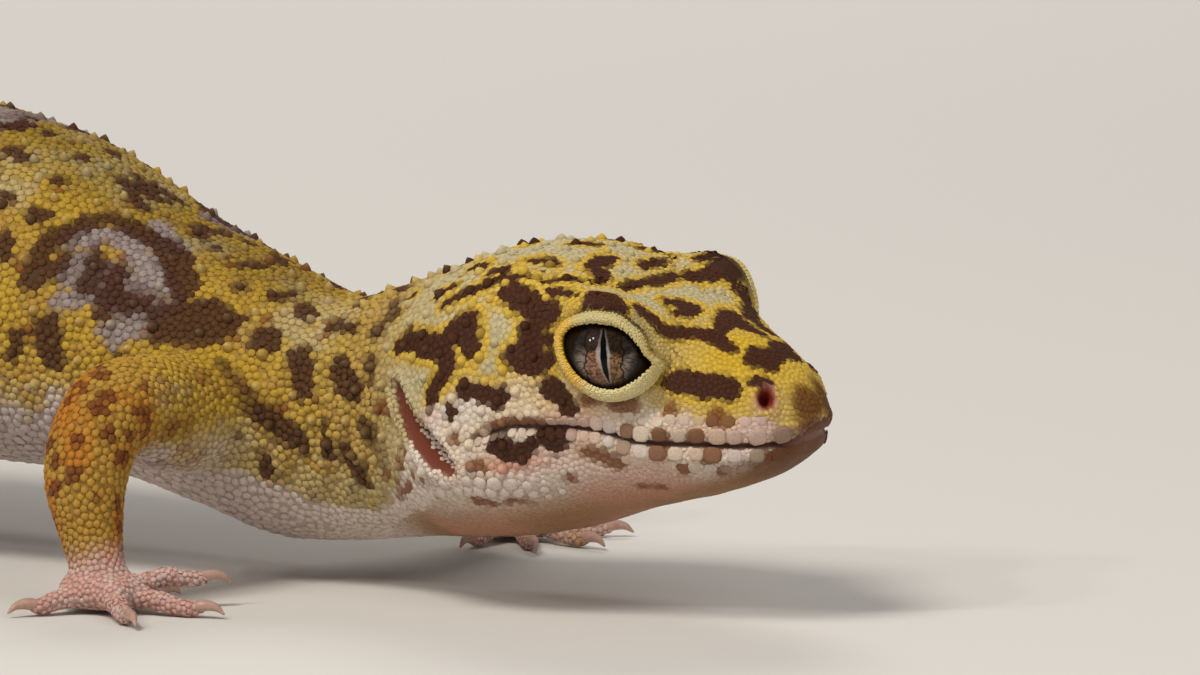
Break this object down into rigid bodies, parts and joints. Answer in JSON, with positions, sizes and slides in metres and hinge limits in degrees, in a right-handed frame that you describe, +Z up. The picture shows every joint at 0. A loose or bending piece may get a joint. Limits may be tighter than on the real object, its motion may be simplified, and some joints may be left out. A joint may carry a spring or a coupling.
{
  "type": "leopard gecko",
  "caption": "Life-size leopard gecko standing on four short legs, scaled skin, broad head with large lidded eyes, fat tapering tail laid along the floor.",
  "frame": {"origin": "on the floor, at the middle of the model's footprint, under the belly", "axes": "+X toward the snout, along the straight front of the body; +Y to the animal's left; +Z up. Standing on the floor at z = 0"},
  "size_m": [0.2028, 0.0646, 0.0314],
  "materials": {
    "skin": "finely scaled reptile skin, yellow to cream with dark brown blotches, satin",
    "foot_skin": "pinkish finely scaled skin of hands and feet, satin",
    "eardrum": "thin reddish eardrum, moist",
    "eye": "clear wet cornea over a grainy brown iris with a vertical slit pupil",
    "claw": "translucent horn-coloured claw, polished"
  },
  "bodies": {
    "root": {"head": "skin", "lower_jaw": "skin", "neck": "skin", "trunk": "skin", "tail_base": "skin", "tail_middle": "skin", "tail_tip": "skin", "eye_right": "eye", "ear_right": "eardrum", "right_upper_arm": "skin", "right_forearm": "skin", "right_thigh": "skin", "right_shin": "skin", "right_hand": "foot_skin", "right_foot": "foot_skin", "right_fore_claw_1": "claw", "right_fore_claw_2": "claw", "right_fore_claw_3": "claw", "right_fore_claw_4": "claw", "right_fore_claw_5": "claw", "right_hind_claw_1": "claw", "right_hind_claw_2": "claw", "right_hind_claw_3": "claw", "right_hind_claw_4": "claw", "right_hind_claw_5": "claw", "eye_left": "eye", "ear_left": "eardrum", "left_upper_arm": "skin", "left_forearm": "skin", "left_thigh": "skin", "left_shin": "skin", "left_hand": "foot_skin", "left_foot": "foot_skin", "left_fore_claw_1": "claw", "left_fore_claw_2": "claw", "left_fore_claw_3": "claw", "left_fore_claw_4": "claw", "left_fore_claw_5": "claw", "left_hind_claw_1": "claw", "left_hind_claw_2": "claw", "left_hind_claw_3": "claw", "left_hind_claw_4": "claw", "left_hind_claw_5": "claw"}
  },
  "joints": []
}
